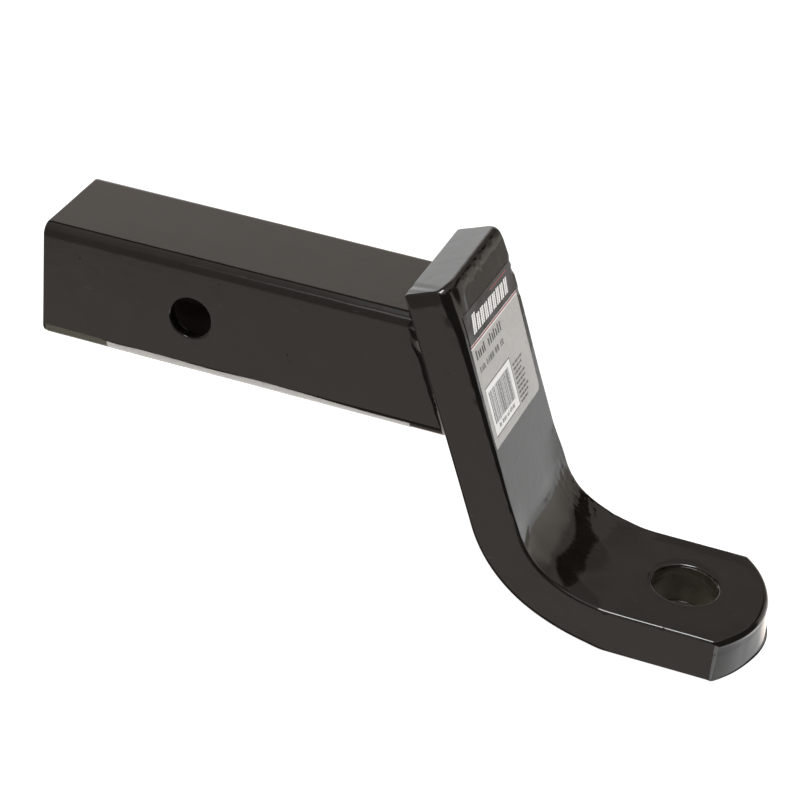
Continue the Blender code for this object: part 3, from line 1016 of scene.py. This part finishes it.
def black_paint(name, peel):
    """Gloss black enamel on steel: orange peel, dust nibs, faint mottling, scuffs and duller patches."""
    material, nodes, shader, place = new_material(name)
    mottle = nodes.remap(nodes.noise(place, 90.0, 4.0, 0.6), 0.3, 0.7, 0, 1)
    base = nodes.blend(mottle, (0.0052, 0.0045, 0.0036), (0.0072, 0.0062, 0.0050))
    nibs = nodes.spots(place, 75.0, 0.045, 0.3)
    base = nodes.blend(nodes.remap(nibs, 0.2, 1.0, 0, 0.5), base, (0.04, 0.037, 0.032))
    streaks = nodes.noise(nodes.moved(place, "MULTIPLY", (120.0, 900.0, 300.0)), 1.0, 2.0)
    base = nodes.blend(nodes.remap(streaks, 0.70, 0.78, 0, 1), base, (0.020, 0.018, 0.015))
    nodes.link(base, shader.inputs["Base Color"])
    haze = nodes.noise(place, 28.0, 5.0, 0.65)
    nodes.link(nodes.remap(haze, 0.3, 0.75, 0.045, 0.10), shader.inputs["Roughness"])
    nodes.put(shader, IOR=1.44)
    normal = nodes.bump(nodes.noise(place, 260.0, 2.0, 0.4), 0.000035 * peel)
    normal = nodes.bump(nodes.noise(place, 1100.0, 2.0), 0.000004 * peel, normal)
    normal = nodes.bump(nibs, 0.00010, normal)
    pits = nodes.spots(place, 55.0, 0.03, 4.1)
    nodes.link(nodes.bump(pits, -0.0001, normal), shader.inputs["Normal"])
    return material


def dull_paint(name, mottle, tones, roughness, ior, grain):
    """Thin, dull paint: a mottle (scale, low, high) between two tones, and a grain (scale, height)."""
    material, nodes, shader, place = new_material(name)
    scale, low, high = mottle
    mask = nodes.remap(nodes.noise(place, scale, 4.0, 0.6), low, high, 0, 1)
    nodes.link(nodes.blend(mask, *tones), shader.inputs["Base Color"])
    nodes.put(shader, Roughness=roughness, IOR=ior)
    nodes.link(nodes.bump(nodes.noise(place, grain[0], 3.0, 0.6), grain[1]), shader.inputs["Normal"])
    return material


def hole_wall_paint_and_painted_light():
    """Thin paint over the punched wall of the ball hole, its tones raised above the paint's own as
    painted light for what the wall catches from below.
    """
    tones = (0.022, 0.019, 0.014), (0.058, 0.050, 0.037)
    return dull_paint("sheared_wall_paint_and_light", (70.0, 0.35, 0.65), tones, 0.32, 1.44, (500.0, 0.00003))


def overspray():
    """Thin, dull paint that drifted into the tube's bore over mill scale."""
    tones = (0.050, 0.037, 0.037), (0.074, 0.056, 0.054)
    return dull_paint("bore_overspray", (90.0, 0.3, 0.7), tones, 0.55, 1.5, (300.0, 0.00005))


def print_ink(name, colour, mottle_colour, roughness):
    """One ink of a printed vinyl label, with faint unevenness and a satin film over it."""
    material, nodes, shader, place = new_material(name)
    mottle = nodes.remap(nodes.noise(place, 420.0, 3.0, 0.6), 0.3, 0.75, 0, 1)
    nodes.link(nodes.blend(mottle, colour, mottle_colour), shader.inputs["Base Color"])
    haze = nodes.remap(nodes.noise(place, 60.0), 0.3, 0.7, roughness, roughness + 0.12)
    nodes.link(haze, shader.inputs["Roughness"])
    nodes.link(nodes.bump(nodes.noise(place, 700.0, 2.0), 0.000008), shader.inputs["Normal"])
    return material


def label_inks():
    """The inks of both labels, in the order of their numbers."""
    looks = (
        ("paper", (0.51, 0.50, 0.48), (0.455, 0.45, 0.43), 0.38),
        ("header", (0.0065, 0.0060, 0.0050), (0.0050, 0.0045, 0.0040), 0.10),
        ("white", (0.93, 0.925, 0.91), (0.88, 0.875, 0.86), 0.38),
        ("red", (0.33, 0.060, 0.065), (0.27, 0.045, 0.05), 0.38),
        ("dark_ink", (0.020, 0.019, 0.018), (0.015, 0.014, 0.013), 0.38),
        # The pale ink is print, and also painted shade on the underside paper.
        ("pale_ink_and_painted_shade", (0.11, 0.105, 0.10), (0.09, 0.085, 0.08), 0.38),
        ("olive_strip", (0.085, 0.083, 0.060), (0.075, 0.073, 0.052), 0.30),
        # A darker copy of the olive strip's ink, as painted shade on its rows that face down.
        ("olive_strip_painted_shade", (0.050, 0.049, 0.031), (0.042, 0.041, 0.026), 0.30),
    )
    return [print_ink("label_" + name, *look) for name, *look in looks]


# ---- studio


def direction_angles(nodes, direction):
    """Azimuth from +X and elevation, in degrees, of the world direction that a ray looks along."""
    parts = nodes.add("ShaderNodeSeparateXYZ")
    nodes.link(direction, parts.inputs[0])
    x, y, z = parts.outputs
    azimuth = nodes.maths("ARCTAN2", y, x)
    elevation = nodes.maths("ARCSINE", z)
    return [nodes.maths("DEGREES", angle) for angle in (azimuth, elevation)]


def band(nodes, value, span, softness):
    """Masks of what lies above a span's low end and below its high end, both soft."""
    low, high = span
    above = nodes.remap(value, low - softness, low + softness, 0, 1)
    return [above, nodes.remap(value, high - softness, high + softness, 1, 0)]


def window(nodes, below, angles, azimuths, elevations, softness, colour):
    """Lays a soft-edged panel of one colour over what is below it."""
    masks = band(nodes, angles[0], azimuths, softness) + band(nodes, angles[1], elevations, softness)
    return nodes.laid_over(below, masks, colour)


def overhead(nodes, below, direction, spans, softness, colour):
    """Lays a soft-edged rectangle of light over the zenith; spans are in the direction's X and Y."""
    parts = nodes.add("ShaderNodeSeparateXYZ")
    nodes.link(direction, parts.inputs[0])
    x, y, z = parts.outputs
    masks = [nodes.remap(z, 0.5, 0.75, 0, 1)]
    masks += band(nodes, x, spans[0], softness) + band(nodes, y, spans[1], softness)
    return nodes.laid_over(below, masks, colour)


WARM = (1.10, 0.99, 0.91)
NEUTRAL = (1.0, 1.0, 1.0)
OLIVE = (1.09, 1.0, 0.90)

# Panels of the studio: azimuth span, elevation span, edge softness (degrees), brightness, tint
STUDIO_PANELS = (
    # Pale floor all round, darker below the object, brighter in front and at its far side
    ((-200, 200), (-90, -27), 2.5, 0.95, WARM),
    ((-200, 200), (-90, -58), 5.0, 0.50, WARM),
    ((-200, -100), (-62, -38), 1.5, 0.14, OLIVE),
    ((-12, 86), (-72, -28), 2.0, 1.15, NEUTRAL),
    ((-12, 38), (-72, -28), 5.0, 1.45, NEUTRAL),
    ((66, 125), (-72, -28), 9.0, 2.0, WARM),
    ((-70, -16), (-42, -28), 2.0, 3.0, NEUTRAL),
    ((40, 59), (-27, -8), 1.5, 1.10, NEUTRAL),
    ((55, 75), (-27, -13.2), 0.6, 1.22, NEUTRAL),
    ((58, 78), (-13.2, -3), 0.6, 0.40, OLIVE),
    # Olive-grey room behind the object, darker where the bend mirrors it, with a dark top edge
    ((42, 103), (-8, 21.5), 1.2, 0.72, OLIVE),
    ((61.5, 78), (-3.5, 21.5), 2.6, 0.27, OLIVE),
    ((42, 75), (17.0, 30), 3.0, 0.36, OLIVE),
    ((42, 75), (21.5, 32.2), 1.0, 0.0, OLIVE),
    ((75, 104), (21.5, 32.2), 1.0, 0.25, OLIVE),
    ((75, 160), (32.2, 52), 1.5, 0.38, WARM),
    ((103, 150), (-10, 31.5), 1.2, 0.80, WARM),
    ((112, 160), (-4, 19), 4.0, 1.55, NEUTRAL),
    ((103, 150), (31.2, 50), 0.6, 0.03, OLIVE),
    # Black flag on the right
    ((-90, 41), (-27, 52), 3.0, 0.07, OLIVE),
    # Strip of light in front with a flag beside it
    ((-116, -108), (42, 58), 1.5, 2.4, NEUTRAL),
    ((-107, -85), (36, 58), 1.5, 0.06, OLIVE),
)
# Softbox overhead and the glow round it: spans of the direction's X and Y, softness, brightness
OVERHEAD_PANELS = (
    ((-0.25, 0.45), (-0.24, 0.40), 0.04, 1.5),
    ((-0.155, 0.10), (-0.28, 0.30), 0.02, 20.0),
)


def tinted(brightness, tint):
    return tuple(brightness * channel for channel in tint)


def studio_world():
    """Room light that the gloss paint mirrors, built up panel by panel."""
    world = bpy.data.worlds.new("studio")
    bpy.context.scene.world = world
    world.use_nodes = True
    nodes = Nodes(world.node_tree)
    direction = nodes.add("ShaderNodeTexCoord").outputs["Generated"]
    angles = direction_angles(nodes, direction)
    light = nodes.blend(nodes.remap(angles[1], 25, 50, 0, 1), tinted(0.45, WARM), tinted(0.62, WARM))
    for azimuths, elevations, softness, brightness, tint in STUDIO_PANELS:
        light = window(nodes, light, angles, azimuths, elevations, softness, tinted(brightness, tint))
    for span_x, span_y, softness, brightness in OVERHEAD_PANELS:
        spans = (span_x, span_y)
        light = overhead(nodes, light, direction, spans, softness, tinted(brightness, NEUTRAL))
    nodes.link(light, world.node_tree.nodes["Background"].inputs["Color"])


def floor_part(name, look, bm, place, mottle, tones, emission, glow):
    """Matt stage object of a mesh, mottled between two tones and glowing by itself."""
    mesh = bpy.data.meshes.new(name)
    bm.to_mesh(mesh)
    bm.free()
    obj = bpy.data.objects.new(name, mesh)
    obj.location = place
    bpy.context.scene.collection.objects.link(obj)
    material, nodes, shader, spot = new_material(look)
    nodes.link(nodes.blend(nodes.noise(spot, *mottle), *tones), shader.inputs["Base Color"])
    nodes.put(shader, Roughness=0.9, Specular_IOR_Level=0.0)
    nodes.put(shader, Emission_Color=(*emission, 1), Emission_Strength=glow)
    mesh.materials.append(material)
    return obj


def floor():
    """Pale floor that stays white all round the object."""
    bm = bmesh.new()
    bmesh.ops.create_grid(bm, x_segments=8, y_segments=8, size=3.0)
    place = (0.1, 0.4, PLATFORM_BOTTOM_Z - 0.4 * MM)
    tones = ((0.20, 0.20, 0.20), (0.22, 0.22, 0.22))
    obj = floor_part("floor", "pale_floor", bm, place, (3.0, 2.0), tones, (1, 1, 1), 0.98)
    # The studio panels already hold what the gloss paint mirrors of the floor.
    obj.visible_glossy = False


def shade_under_platform():
    """The unlit floor seen through the ball hole, and the light that still reaches the hole's wall."""
    patches = []
    for name, below, glow in (("unlit_patch", 0.3 * MM, 0.02), ("bounce_patch", 0.2 * MM, 0.33)):
        bm = bmesh.new()
        bmesh.ops.create_circle(bm, cap_ends=True, segments=64, radius=27 * MM)
        place = (BALL_X, 0, PLATFORM_BOTTOM_Z - below)
        tones = ((0.020, 0.018, 0.015), (0.028, 0.0252, 0.021))
        look = name + "_tone"
        patches.append(floor_part(name, look, bm, place, (60.0, 3.0), tones, (1.0, 0.92, 0.78), glow))
    unlit, bounce = patches
    unlit.visible_diffuse = False
    unlit.visible_glossy = False
    bounce.visible_camera = False


def camera():
    """The view: from the near side, turned towards the platform and looking down."""
    azimuth, elevation, roll = (math.radians(angle) for angle in (16.131, 31.451, 6.155))
    level = math.cos(elevation)
    back = Vector((math.sin(azimuth) * level, -math.cos(azimuth) * level, math.sin(elevation)))
    right = Vector((0, 0, 1)).cross(back).normalized()
    up = back.cross(right)
    turned_right = right * math.cos(roll) + up * math.sin(roll)
    turned_up = up * math.cos(roll) - right * math.sin(roll)
    data = bpy.data.cameras.new("camera")
    data.sensor_width = 36.0
    data.lens = 100.95
    data.clip_start = 0.01
    obj = bpy.data.objects.new("camera", data)
    bpy.context.scene.collection.objects.link(obj)
    axes = Matrix((turned_right, turned_up, back)).transposed().to_4x4()
    obj.matrix_world = Matrix.Translation((0.29813, -0.74482, 0.44596)) @ axes
    bpy.context.scene.camera = obj


def main():
    """Builds the view, the studio and every piece."""
    scene = bpy.context.scene
    scene.view_settings.view_transform = "Standard"
    scene.view_settings.look = "None"
    camera()
    studio_world()
    floor()
    shade_under_platform()
    shank(black_paint("shank_enamel", 0.8), overspray())
    drop_plate(black_paint("plate_enamel", 1.0), hole_wall_paint_and_painted_light())
    welds(black_paint("weld_enamel", 1.3))
    inks = label_inks()
    front_label(inks)
    underside_label(inks)


main()
